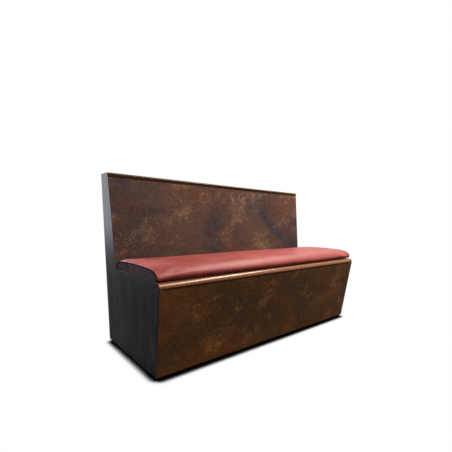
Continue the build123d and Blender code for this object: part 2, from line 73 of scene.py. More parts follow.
def add(tree: Any, kind: str, settings: dict | None = None, links: dict | None = None, out: str = "") -> Any:
    """Adds one node with its settings and links.

    Args:
        tree: the node tree.
        kind: the node's type, without the word ShaderNode.
        settings: values by property name, or by input name or number. A hex code becomes a linear colour,
            and "stops" are a ramp's (place, colour or grey) points.
        links: output sockets by the input's name or number.
        out: the name of the wanted output, else the first that is in use.

    Returns:
        The wanted output socket.
    """
    node = tree.nodes.new("ShaderNode" + kind)
    for key, value in (settings or {}).items():
        if key == "stops":
            points = node.color_ramp.elements
            points[0].position, points[1].position = value[0][0], value[-1][0]
            for place, _ in value[1:-1]:
                points.new(place)
            for point, (_, tone) in zip(points, value):
                point.color = linear(tone) if isinstance(tone, str) else (tone, tone, tone, 1.0)
        elif isinstance(key, str) and hasattr(node, key):
            setattr(node, key, value)
        else:
            hexed = isinstance(value, str) and value.startswith("#")
            node.inputs[key].default_value = linear(value) if hexed else value
    for key, socket in (links or {}).items():
        tree.links.new(socket, node.inputs[key])
    return next((o for o in node.outputs if (o.name == out if out else o.enabled)), None)


def empty_tree(owner: Any) -> Any:
    """Switches an owner's nodes on and clears them.

    Args:
        owner: a material or the world.

    Returns:
        Its empty node tree.
    """
    owner.use_nodes = True
    owner.node_tree.nodes.clear()
    return owner.node_tree


def put_in(name: str, data: Any) -> Any:
    """Makes an object and links it to the scene.

    Args:
        name: the object's name.
        data: its mesh, lamp or camera.

    Returns:
        The object.
    """
    thing = bpy.data.objects.new(name, data)
    bpy.context.scene.collection.objects.link(thing)
    return thing


# Finishes

Size = tuple[float, float, float]
ZERO = (0.0, 0.0, 0.0)
OVER = {"data_type": "RGBA", "blend_type": "MIX"}
TIMES = {"data_type": "RGBA", "blend_type": "MULTIPLY", 0: 1.0}
LIGHTER = {"data_type": "RGBA", "blend_type": "LIGHTEN", 0: 1.0}


@dataclass(frozen=True)
class Finish:
    """A finish: surface() gives its Principled shader's values and sockets, material() wraps them up."""

    name: str = "finish"

    def surface(self, tree: Any) -> tuple[dict, dict]:
        """Fills the tree with what the shader needs.

        Args:
            tree: the material's node tree.

        Returns:
            The shader's settings and its links.
        """
        raise NotImplementedError

    def spread(self, tree: Any, size: Size, turn: Size = ZERO, shift: Size = ZERO) -> Any:
        """Object coordinates, moved, turned and divided by a size.

        Args:
            tree: the node tree.
            size: the length in metres that counts as one, along each axis.
            turn: the turn in degrees.
            shift: the move in metres.

        Returns:
            The vector socket.
        """
        turned = tuple(math.radians(a) for a in turn)
        moves = {"vector_type": "TEXTURE", "Scale": size, "Rotation": turned, "Location": shift}
        return add(tree, "Mapping", moves, {"Vector": add(tree, "TexCoord", out="Object")})

    def patches(
        self, tree: Any, size: Size, stops: list, detail: float = 3.0, fine: float = 0.5,
        warp: float = 0.0, turn: Size = ZERO, shift: Size = ZERO,
    ) -> Any:
        """Random patches of a real size: noise over object coordinates that are divided by the patch size.

        Args:
            tree: the node tree.
            size: a patch's length in metres along each axis, after the turn.
            stops: the (value, colour or grey) points that the noise is spread over.
            detail: how many finer octaves it has.
            fine: how strong these are.
            warp: how much the patches are stirred.
            turn: the pattern's turn in degrees.
            shift: how far it is moved, in metres.

        Returns:
            The colour socket.
        """
        spread = self.spread(tree, size, turn, shift)
        settings = {"Scale": 1.0, "Detail": detail, "Roughness": fine, "Distortion": warp}
        value = add(tree, "TexNoise", settings, {"Vector": spread})
        return add(tree, "ValToRGB", {"stops": stops}, {0: value})

    def material(self) -> Any:
        """Makes the finish's material, unless it is there already.

        Returns:
            The material.
        """
        made = bpy.data.materials.get(self.name)
        if made:
            return made
        material = bpy.data.materials.new(self.name)
        tree = empty_tree(material)
        settings, links = self.surface(tree)
        shader = add(tree, "BsdfPrincipled", settings, links)
        add(tree, "OutputMaterial", links={"Surface": shader})
        return material


@dataclass(frozen=True)
class SatinLaminate(Finish):
    """High-pressure laminate, pressed with a satin plate: nearly black, with a soft broad sheen.

    A cloudy print and fine upright brush marks keep the sheen from looking like paint, and so does the
    plate's grain, which is drawn three times coarser than its real 0.3 mm so that it shows.
    """

    base: str = "#19191b"
    cloud: str = "#2b2b2d"
    cloud_size: Size = (60 * MM, 40 * MM, 170 * MM)
    brush_size: Size = (5 * MM, 5 * MM, 120 * MM)
    grain: float = 0.9 * MM
    gloss: float = 0.005

    def surface(self, tree: Any) -> tuple[dict, dict]:
        """Returns the laminate's settings and links."""
        cloudy = self.patches(tree, self.cloud_size, [(0.3, self.base), (0.7, self.cloud)], 4, 0.6)
        brushed = self.patches(tree, self.brush_size, [(0.34, 0.42), (0.66, 1.0)], 4, 0.65, 0.3)
        colour = add(tree, "Mix", TIMES, {6: cloudy, 7: brushed})
        rough = self.patches(tree, self.brush_size, [(0.3, 0.36), (0.7, 0.46)], 4, 0.65, 0.3)
        grain = self.patches(tree, (self.grain,) * 3, [(0.3, 0.0), (0.7, 1.0)], 1)
        normal = add(tree, "Bump", {"Strength": 0.4, "Distance": 0.02 * MM}, {"Height": grain})
        settings = {"IOR": 1.5, "Specular IOR Level": self.gloss}
        return settings, {"Base Color": colour, "Roughness": rough, "Normal": normal}


@dataclass(frozen=True)
class SawnCore(Finish):
    """A compact laminate's sawn edge: pressed kraft paper in phenolic resin, black-brown and dull.

    Its paper layers of 0.2 mm show as faint lines.
    """

    base: str = "#120d0c"
    layer: str = "#1e1613"
    layer_size: Size = (0.2 * MM, 30 * MM, 30 * MM)

    def surface(self, tree: Any) -> tuple[dict, dict]:
        """Returns the core's settings and links."""
        colour = self.patches(tree, self.layer_size, [(0.35, self.base), (0.65, self.layer)], 1)
        return {"Roughness": 0.6, "Specular IOR Level": 0.02}, {"Base Color": colour}


@dataclass(frozen=True)
class RustPrint(Finish):
    """High-pressure laminate with a print of rusted sheet steel under a satin melamine face.

    Large soft fields of slate, umber and brown, red rust, rubbed golden patches that break up into flecks,
    fine level rolling marks, grit, and short pale scratches that lean both ways. The real scratches are half
    a millimetre wide and the rolling marks one, and both are drawn some four times as wide to show.
    """

    slate: str = "#513b29"
    umber: str = "#644429"
    brown: str = "#744b2a"
    rust: str = "#7a4523"
    gold: str = "#ac743a"
    pale: str = "#dcc3a0"
    rusting: float = 0.45
    rubbing: float = 0.55
    field_size: Size = (420 * MM, 420 * MM, 260 * MM)
    rust_size: Size = (520 * MM, 520 * MM, 240 * MM)
    rub_size: Size = (210 * MM, 210 * MM, 120 * MM)
    mottle_size: Size = (26 * MM, 26 * MM, 18 * MM)
    grit_size: Size = (4.5 * MM,) * 3
    roll_size: Size = (90 * MM, 90 * MM, 3 * MM)
    scratch_size: Size = (2.2 * MM, 32 * MM, 32 * MM)
    scratch_leans: tuple[float, float] = (24.0, -37.0)
    rust_turn: Size = (0.0, 12.0, 0.0)
    rub_turn: Size = (0.0, -15.0, 0.0)
    gloss: float = 0.008
    cut: Size = (5.87, -0.8, -1.41)  # where in the endless print the sheets are cut

    def surface(self, tree: Any) -> tuple[dict, dict]:
        """Returns the laminate's settings and links."""
        fields = [(0.4, self.slate), (0.52, self.umber), (0.66, self.brown)]
        ground = self.patches(tree, self.field_size, fields, 5, 0.55, 0.7, shift=self.cut)
        rusting, rubbing = [(0.46, 0.0), (0.68, self.rusting)], [(0.54, 0.0), (0.75, self.rubbing)]
        rusty = self.patches(tree, self.rust_size, rusting, 5, 0.6, 0.5, self.rust_turn, self.cut)
        paler_tone = self.patches(tree, self.rub_size, rubbing, 9, 0.7, 0.2, self.rub_turn, self.cut)
        mottle = self.patches(tree, self.mottle_size, [(0.32, 0.72), (0.62, 1.0)], 6, 0.7, 0.4)
        rolled = self.patches(tree, self.roll_size, [(0.32, 0.76), (0.66, 1.0)], 4, 0.6)
        grit = self.patches(tree, self.grit_size, [(0.36, 0.66), (0.58, 1.0)], 3, 0.7)
        specks = self.patches(tree, self.grit_size, [(0.64, 0.0), (0.72, 0.55)], 3, 0.7, 0.0, (0, 20, 0))
        leans = [
            self.patches(tree, self.scratch_size, [(0.69, 0.0), (0.76, 0.7)], 1, 0.5, 0.9, (0, lean, 0))
            for lean in self.scratch_leans
        ]
        spots = [(0.48, 0.1), (0.64, 1.0)]
        clusters = self.patches(tree, self.rub_size, spots, 4, 0.6, 0.2, self.rub_turn, self.cut)
        reddened = add(tree, "Mix", OVER | {7: self.rust}, {0: rusty, 6: ground})
        lightened = add(tree, "Mix", OVER | {7: self.gold}, {0: paler_tone, 6: reddened})
        mottled = add(tree, "Mix", TIMES, {6: lightened, 7: mottle})
        streaky = add(tree, "Mix", TIMES, {6: mottled, 7: rolled})
        gritty = add(tree, "Mix", TIMES, {6: streaky, 7: grit})
        lines = add(tree, "Mix", LIGHTER, dict(zip((6, 7), leans)))
        marks = add(tree, "Mix", LIGHTER, {6: lines, 7: specks})
        clustered = add(tree, "Mix", TIMES, {6: marks, 7: clusters})
        colour = add(tree, "Mix", OVER | {7: self.pale}, {0: clustered, 6: gritty})
        rough = self.patches(tree, self.roll_size, [(0.35, 0.4), (0.7, 0.54)], 4, 0.6)
        normal = add(tree, "Bump", {"Strength": 0.4, "Distance": 0.04 * MM}, {"Height": grit})
        settings = {"IOR": 1.5, "Specular IOR Level": self.gloss}
        return settings, {"Base Color": colour, "Roughness": rough, "Normal": normal}


@dataclass(frozen=True)
class VarnishedMoulding(Finish):
    """Planed hardwood moulding, stained and varnished, with streaks of grain along it.

    On the rounding the colour is painted paler and golden as a painted highlight, and the varnish there is
    glossier, while the rest stays dark and dull. How far a point lies out towards the rounding is its
    height minus its y, in metres, and the painted highlight sets in between the two values of rounding.
    """

    base: str = "#57311a"
    streak: str = "#74462a"
    # painted highlight: the paler golden colour that the rounding is painted with
    paler_tone: str = "#9a5a20"
    rounding: tuple[float, float] = (0.7195, 0.7245)
    polish: float = 1.0
    streak_size: Size = (420 * MM, 5 * MM, 5 * MM)
    pore_size: Size = (12 * MM, 0.7 * MM, 0.7 * MM)

    def surface(self, tree: Any) -> tuple[dict, dict]:
        """Returns the moulding's settings and links."""
        place = add(tree, "TexCoord", out="Object")
        towards = add(tree, "VectorMath", {"operation": "DOT_PRODUCT", 1: (0, -1, 1)}, {0: place}, "Value")
        low, high = self.rounding
        span = {"interpolation_type": "SMOOTHSTEP", "From Min": low, "From Max": high}
        # where the painted highlight lies: the upper part of the rounding
        painted_highlight_mask = add(tree, "MapRange", span, {"Value": towards})
        varnish = add(tree, "MapRange", span | {"To Min": 0.0, "To Max": self.polish}, {"Value": towards})
        rough = add(tree, "MapRange", span | {"To Min": 0.5, "To Max": 0.3}, {"Value": towards})
        ground = self.patches(tree, self.streak_size, [(0.35, self.base), (0.65, self.streak)], 5, 0.6, 0.6)
        lightened = add(tree, "Mix", OVER | {7: self.paler_tone}, {0: painted_highlight_mask, 6: ground})
        figure = self.patches(tree, self.streak_size, [(0.35, 0.55), (0.62, 1.0)], 5, 0.65, 0.9)
        pores = self.patches(tree, self.pore_size, [(0.35, 0.7), (0.6, 1.0)], 2)
        figured = add(tree, "Mix", TIMES, {6: lightened, 7: figure})
        colour = add(tree, "Mix", TIMES, {6: figured, 7: pores})
        normal = add(tree, "Bump", {"Strength": 0.3, "Distance": 0.05 * MM}, {"Height": figure})
        settings = {"Specular IOR Level": 0.01, "Coat Roughness": 0.22}
        links = {"Base Color": colour, "Normal": normal, "Roughness": rough, "Coat Weight": varnish}
        return settings, links


@dataclass(frozen=True)
class Leatherette(Finish):
    """Upholstery vinyl on knitted cloth, embossed with a leather pebble, with painted shade between the
    pebbles.

    Broad soft creases are painted into the colour as light and shade, and a fine crumpling as painted
    shade. The real pebble is about 1 mm wide and is drawn at almost four times that so that it shows.
    """

    base: str = "#882a2c"
    # painted highlight: the paler colour of broad creases that exist only in the colour
    crease_highlight: str = "#b6544e"
    roughness: float = 0.42
    gloss: float = 0.3
    bloom: float = 0.12
    bloom_tint: str = "#f8d0c0"
    pebble_size: Size = (3.8 * MM,) * 3
    crease_size: Size = (170 * MM, 85 * MM, 60 * MM)
    crumple_size: Size = (34 * MM, 16 * MM, 16 * MM)
    cut: Size = (-0.47, 0.0, 0.0)  # where in the endless pattern the cover is cut, which places the painted crease light and shade

    def surface(self, tree: Any) -> tuple[dict, dict]:
        """Returns the leatherette's settings and links."""
        domed = {"feature": "SMOOTH_F1", "Scale": 1.0, "Smoothness": 0.6}
        cells = add(tree, "TexVoronoi", domed, {"Vector": self.spread(tree, self.pebble_size)}, "Distance")
        # painted shade: darker towards the edge of each pebble, in the hollows between them
        shade = add(tree, "ValToRGB", {"stops": [(0.2, 1.0), (0.8, 0.8)]}, {0: cells})
        domes = add(tree, "ValToRGB", {"stops": [(0.1, 1.0), (0.8, 0.0)]}, {0: cells})
        gloss = [(0.2, self.roughness), (0.8, self.roughness + 0.14)]
        rough = add(tree, "ValToRGB", {"stops": gloss}, {0: cells})
        # painted light and shade of broad creases, then painted shade of a fine crumpling
        tones = [(0.3, self.base), (0.75, self.crease_highlight)]
        tint = self.patches(tree, self.crease_size, tones, 4, 0.55, 0.3, shift=self.cut)
        crumple_shade = self.patches(tree, self.crumple_size, [(0.33, 0.78), (0.5, 1.0)], 4, 0.6, 1.2)
        crumple_shaded = add(tree, "Mix", TIMES, {6: tint, 7: crumple_shade})
        colour = add(tree, "Mix", TIMES, {6: crumple_shaded, 7: shade})
        normal = add(tree, "Bump", {"Strength": 0.8, "Distance": 0.36 * MM}, {"Height": domes})
        settings = {
            "IOR": 1.5, "Specular IOR Level": self.gloss,
            "Sheen Weight": self.bloom, "Sheen Tint": self.bloom_tint,
        }
        return settings, {"Base Color": colour, "Roughness": rough, "Normal": normal}


@dataclass(frozen=True)
class RawWood(Finish):
    """Unfinished plywood or planed softwood: soft figure and fine pores along the grain, no gloss."""

    base: str = "#c9a777"
    figure: str = "#b08a5a"
    figure_size: Size = (9 * MM, 9 * MM, 140 * MM)
    pore_size: Size = (0.7 * MM, 0.7 * MM, 20 * MM)

    def surface(self, tree: Any) -> tuple[dict, dict]:
        """Returns the wood's settings and links."""
        ground = self.patches(tree, self.figure_size, [(0.35, self.base), (0.65, self.figure)], 5, 0.6, 1.0)
        pores = self.patches(tree, self.pore_size, [(0.3, 0.75), (0.6, 1.0)], 2)
        colour = add(tree, "Mix", TIMES, {6: ground, 7: pores})
        normal = add(tree, "Bump", {"Strength": 0.4, "Distance": 0.06 * MM}, {"Height": pores})
        return {"Roughness": 0.66}, {"Base Color": colour, "Normal": normal}


@dataclass(frozen=True)
class RolledPaint(Finish):
    """Plywood with one rolled coat of dark grey paint: the roller's stipple still shows as a dull glitter."""

    base: str = "#2c2c2f"
    cloud: str = "#37373a"
    cloud_size: Size = (300 * MM,) * 3
    stipple_size: Size = (2.4 * MM,) * 3

    def surface(self, tree: Any) -> tuple[dict, dict]:
        """Returns the paint's settings and links."""
        colour = self.patches(tree, self.cloud_size, [(0.3, self.base), (0.7, self.cloud)])
        stipple = self.patches(tree, self.stipple_size, [(0.3, 0.0), (0.7, 1.0)], 3, 0.55)
        rough = self.patches(tree, self.stipple_size, [(0.3, 0.5), (0.7, 0.66)], 3, 0.55)
        normal = add(tree, "Bump", {"Strength": 0.5, "Distance": 0.08 * MM}, {"Height": stipple})
        return {}, {"Base Color": colour, "Roughness": rough, "Normal": normal}


@dataclass(frozen=True)
class PlatedSteel(Finish):
    """Zinc-plated steel wire or bar: a pale, slightly blue metal with a fine matt bloom."""

    base: str = "#c3c4c0"
    bloom: str = "#a4a7a6"
    bloom_size: Size = (3 * MM,) * 3

    def surface(self, tree: Any) -> tuple[dict, dict]:
        """Returns the metal's settings and links."""
        colour = self.patches(tree, self.bloom_size, [(0.3, self.base), (0.7, self.bloom)], 3, 0.6)
        rough = self.patches(tree, self.bloom_size, [(0.3, 0.28), (0.7, 0.42)], 3, 0.6)
        return {"Metallic": 1.0}, {"Base Color": colour, "Roughness": rough}


@dataclass(frozen=True)
class MouldedNylon(Finish):
    """Injection-moulded nylon: black and dull, with the spark-eroded grain of its mould."""

    base: str = "#19191b"
    lightened: str = "#242427"
    grain_size: Size = (1.1 * MM,) * 3

    def surface(self, tree: Any) -> tuple[dict, dict]:
        """Returns the nylon's settings and links."""
        colour = self.patches(tree, self.grain_size, [(0.3, self.base), (0.7, self.lightened)], 2)
        grain = self.patches(tree, self.grain_size, [(0.3, 0.0), (0.7, 1.0)], 2)
        normal = add(tree, "Bump", {"Strength": 0.5, "Distance": 0.04 * MM}, {"Height": grain})
        return {"Roughness": 0.52}, {"Base Color": colour, "Normal": normal}


@dataclass(frozen=True)
class FibrePile(Finish):
    """Spunbonded cloth or hook-and-loop tape: a dull nap of fibres that cross both ways."""

    base: str = "#131314"
    fibre: str = "#222224"
    pitch: float = 0.6 * MM

    def surface(self, tree: Any) -> tuple[dict, dict]:
        """Returns the cloth's settings and links."""
        short, long = self.pitch, 8 * self.pitch
        stops = [(0.4, 0.0), (0.7, 1.0)]
        along = self.patches(tree, (long, short, short), stops, 2)
        across = self.patches(tree, (short, long, short), stops, 2)
        nap = add(tree, "Mix", LIGHTER, {6: along, 7: across})
        colour = add(tree, "Mix", OVER | {6: self.base, 7: self.fibre}, {0: nap})
        normal = add(tree, "Bump", {"Strength": 0.7, "Distance": 0.3 * MM}, {"Height": nap})
        return {"Roughness": 0.95, "Sheen Weight": 0.3}, {"Base Color": colour, "Normal": normal}


@dataclass(frozen=True)
class BondedThread(Finish):
    """Bonded polyester sewing thread: its twist gives a soft broken shine."""

    base: str = "#9a4a48"
    shade: str = "#7b3837"
    twist_size: Size = (0.6 * MM,) * 3

    def surface(self, tree: Any) -> tuple[dict, dict]:
        """Returns the thread's settings and links."""
        colour = self.patches(tree, self.twist_size, [(0.3, self.base), (0.7, self.shade)], 1)
        return {"Roughness": 0.6, "Sheen Weight": 0.2}, {"Base Color": colour}


LEVEL_GRAIN = (140 * MM, 9 * MM, 9 * MM)  # the figure of a board whose grain runs along the seat


class Trim(Enum):
    """The banquette's finishes: the record's material slot and the finish for it."""

    SIDE = ("side_laminate", SatinLaminate("satin_laminate"))
    FRONT = ("rust_laminate", RustPrint("rust_print_laminate"))
    # The back's copy of the rust print is greyer and a little lighter than the front's: painted sheen.
    BACK = ("rust_laminate", RustPrint(
        "rust_print_painted_sheen", slate="#4c474b", umber="#67534c", brown="#735b4d", rust="#774e3d",
        gold="#b08a66", pale="#e6d2b8", rusting=0.7, rubbing=0.65,
    ))
    # On both mouldings the paler colour on the rounding is a painted highlight; on the cap it is a mild one.
    NOSING = ("nosing_wood", VarnishedMoulding("copper_stained_moulding"))
    CAP = ("cap_wood", VarnishedMoulding(
        "dark_stained_moulding", base="#362313", streak="#432c19", paler_tone="#604a33",
        rounding=(0.6905, 0.694), polish=0.4,
    ))
    REAR = ("rear_board", RolledPaint("rolled_paint"))
    SIDE_BOARD = ("side_board", RawWood("birch_plywood"))
    PANEL_BOARD = ("panel_board", RawWood("poplar_plywood", "#cfb48a", "#bb9a6b", LEVEL_GRAIN))
    DECK = ("deck_board", RawWood("stained_plywood", "#1d1815", "#2a221d", LEVEL_GRAIN))
    PINE = ("pine_rail", RawWood("planed_pine", "#c9a476", "#a87848", (500 * MM, 7 * MM, 7 * MM)))
    SEAT = ("seat_leatherette", Leatherette("burgundy_leatherette"))
    THREAD = ("seat_leatherette", BondedThread("bonded_thread"))
    END = ("end_leatherette", Leatherette(
        "plum_leatherette", base="#342d30", crease_highlight="#4c4348", roughness=0.55, gloss=0.0, bloom=0.0
    ))
    # painted shade: a much darker copy of the end panels' plum leatherette, so the seam reads as a shadow
    # line
    WELT = ("end_leatherette", Leatherette(
        "plum_leatherette_painted_seam_shade", base="#100b0f", crease_highlight="#1b1418", roughness=0.5, gloss=0.0, bloom=0.0
    ))
    CLOTH = ("dust_cloth", FibrePile("spunbonded_cloth"))
    TAPE = ("fastening_tape", FibrePile("hook_and_loop", "#101011", "#2a2a2c", 1.4 * MM))
    ZINC = ("zinc_steel", PlatedSteel("zinc_plated_steel"))
    STAPLE = ("staple_steel", PlatedSteel("galvanised_wire", "#cfd0d2", "#b4b6b9"))
    DOWEL = ("beech_dowel", RawWood("beech", "#c79a68", "#b5834f", (6 * MM, 60 * MM, 6 * MM)))
    NYLON = ("foot_nylon", MouldedNylon("moulded_nylon"))

    def __init__(self, slot: str, finish: Finish) -> None:
        """Keeps the record's slot name and the finish."""
        self.slot = slot
        self.finish = finish


# Meshes


def grid_faces(rows: int, columns: int, around: bool = False) -> np.ndarray:
    """Quads between the points of a grid.

    Args:
        rows: points along the first axis.
        columns: points along the second axis.
        around: whether the last column joins the first.

    Returns:
        An array of four point numbers per quad.
    """
    index = np.arange(rows * columns).reshape(rows, columns)
    after = np.roll(index, -1, axis=1)
    if not around:
        index, after = index[:, :-1], after[:, :-1]
    quads = np.stack([index[:-1], after[:-1], after[1:], index[1:]], axis=-1)
    return quads.reshape(-1, 4)


def new_piece(
    name: str, points: np.ndarray, faces: np.ndarray, trim: Trim, outward: Size | None = None
) -> Any:
    """Makes a smooth mesh object from points and quads, with its doubles merged and its faces outward.

    Args:
        name: the object's name.
        points: n by 3 positions.
        faces: quads of point numbers.
        trim: the finish.
        outward: for an open sheet, the way that most of its faces look; a closed form needs none.

    Returns:
        The object.
    """
    mesh = bpy.data.meshes.new(name)
    mesh.from_pydata(points.tolist(), [], faces.tolist())
    work = bmesh.new()
    work.from_mesh(mesh)
    bmesh.ops.remove_doubles(work, verts=work.verts, dist=0.01 * MM)
    bmesh.ops.recalc_face_normals(work, faces=work.faces)
    if outward and sum((f.normal * f.calc_area() for f in work.faces), Vector()).dot(outward) < 0:
        bmesh.ops.reverse_faces(work, faces=work.faces)
    work.to_mesh(mesh)
    work.free()
    mesh.materials.append(trim.finish.material())
    mesh.polygons.foreach_set("use_smooth", np.ones(len(mesh.polygons), bool))
    mesh.update()
    piece = put_in(name, mesh)
    return piece


def put_on(name: str, trim: Trim) -> None:
    """Gives a CAD node a finish in place of its plain one.

    Args:
        name: the node's name.
        trim: the finish.
    """
    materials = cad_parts[name].data.materials
    materials.clear()
    materials.append(trim.finish.material())
    log.info("%s: %s", name, trim.finish.name)


def add_modifier(piece: Any, kind: str, **settings: Any) -> Any:
    """Adds a modifier to an object.

    Args:
        piece: the object.
        kind: the modifier's type.
        **settings: its settings by name.

    Returns:
        The modifier.
    """
    modifier = piece.modifiers.new(kind.title(), kind)
    for key, value in settings.items():
        setattr(modifier, key, value)
    return modifier


def unit(vectors: np.ndarray) -> np.ndarray:
    """Vectors along the last axis, each made one long."""
    return vectors / np.maximum(np.linalg.norm(vectors, axis=-1, keepdims=True), 1e-12)


def smooth_curve(corners: np.ndarray, spacing: float, fine: int = 24) -> np.ndarray:
    """Points evenly spaced along the quadratic B-spline of a polygon's corners, ends included.

    Between the middles of two sides the curve is a parabola: with corners a, b, c and u from 0 to 1 it is
    (1-u)^2 (a+b)/2 + 2u(1-u) b + u^2 (b+c)/2.

    Args:
        corners: k by 2 corners.
        spacing: the distance between points, rounded so that it fits the length.
        fine: the points per parabola from which the length is measured.

    Returns:
        n by 2 points.
    """
    middles = (corners[:-1] + corners[1:]) / 2
    middles[0], middles[-1] = corners[0], corners[-1]
    u = np.linspace(0, 1, fine, endpoint=False)[None, :, None]
    start, bend, end = middles[:-1, None], corners[1:-1, None], middles[1:, None]
    line = ((1 - u) ** 2 * start + 2 * u * (1 - u) * bend + u**2 * end).reshape(-1, 2)
    line = np.vstack([line, corners[-1]])
    run = np.concatenate([[0], np.cumsum(np.hypot(*np.diff(line, axis=0).T))])
    stations = np.linspace(0, run[-1], round(run[-1] / spacing) + 1)
    return np.stack([np.interp(stations, run, line[:, k]) for k in (0, 1)], axis=1)


# Sub-assemblies


@dataclass
class Carcass:
    """The fixed box and back: dresses the solids that the frame brings, edges apart from faces."""

    edge_below: float = 0.9  # a sheet's face whose normal lies further off the sheet's own is its edge

    def finishes(self) -> dict[str, Trim]:
        """Lists what each board, skin, rail, moulding and fastener is finished with.

        Returns:
            The finish by the node's name.
        """
        chosen = {
            Trim.SIDE: "left_side_skin right_side_skin",
            Trim.FRONT: "front_skin",
            Trim.BACK: "back_skin",
            Trim.NOSING: "seat_nosing",
            Trim.CAP: "top_cap",
            Trim.REAR: "rear_panel",
            Trim.SIDE_BOARD: "left_side_board right_side_board centre_partition",
            Trim.PANEL_BOARD: "front_board back_board",
            Trim.DECK: "seat_deck",
            Trim.DOWEL: "frame_dowels",
            Trim.TAPE: "deck_hook_strips",
            Trim.PINE: "seat_front_rail seat_rear_rail front_bottom_rail rear_bottom_rail back_lower_rail "
            "back_top_rail rear_top_rail foot_blocks",
            Trim.ZINC: "side_screws deck_screws rear_panel_screws nosing_screws foot_inserts",
        }
        return {name: trim for trim, names in chosen.items() for name in names.split()}

    def edge(self, name: str, across: int, finish: Finish) -> None:
        """Gives a sheet's thin edges and bevels another finish than its faces.

        Args:
            name: the sheet's node.
            across: the axis that the sheet looks along, 0 for X and 1 for Y.
            finish: the edges' finish.
        """
        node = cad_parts[name]
        node.data.materials.append(finish.material())
        normals = np.empty(len(node.data.polygons) * 3, np.float32)
        node.data.polygons.foreach_get("normal", normals)
        off_face = np.abs(normals.reshape(-1, 3)[:, across]) < self.edge_below
        node.data.polygons.foreach_set("material_index", off_face.astype(np.int32))

    def dress(self) -> None:
        """Puts each finish on its node."""
        for name, trim in self.finishes().items():
            put_on(name, trim)
        core, painted_groove_shade = SawnCore("laminate_core"), Trim.DECK.finish
        for name, across in (("left_side", 0), ("right_side", 0), ("front", 1), ("back", 1)):
            self.edge(f"{name}_skin", across, core)
        # painted shade: the front board's edges take the dark deck finish so the groove under the nosing
        # reads as shadow
        self.edge("front_board", 1, painted_groove_shade)


@dataclass
class LevellingFeet:
    """Six swivel feet: nylon pads and plated studs."""

    rows: tuple[str, ...] = ("front", "rear")
    columns: tuple[str, ...] = ("left", "middle", "right")

    def dress(self) -> None:
        """Puts nylon and zinc on each foot."""
        for row in self.rows:
            for column in self.columns:
                put_on(f"{row}_{column}_foot_pad", Trim.NYLON)
                put_on(f"{row}_{column}_foot_stud", Trim.ZINC)


ALONG = np.array([1.0, 0.0, 0.0])  # the way the seat runs
VINYL_CLOTH = {  # the simulation's settings for backed vinyl, pressed outwards by the foam
    "quality": 6, "mass": 0.4, "tension_stiffness": 40, "compression_stiffness": 30, "shear_stiffness": 12,
    "bending_stiffness": 1.5, "use_pressure": True, "uniform_pressure_force": 4.0, "shrink_min": -0.012,
    "pin_stiffness": 1.0,
}


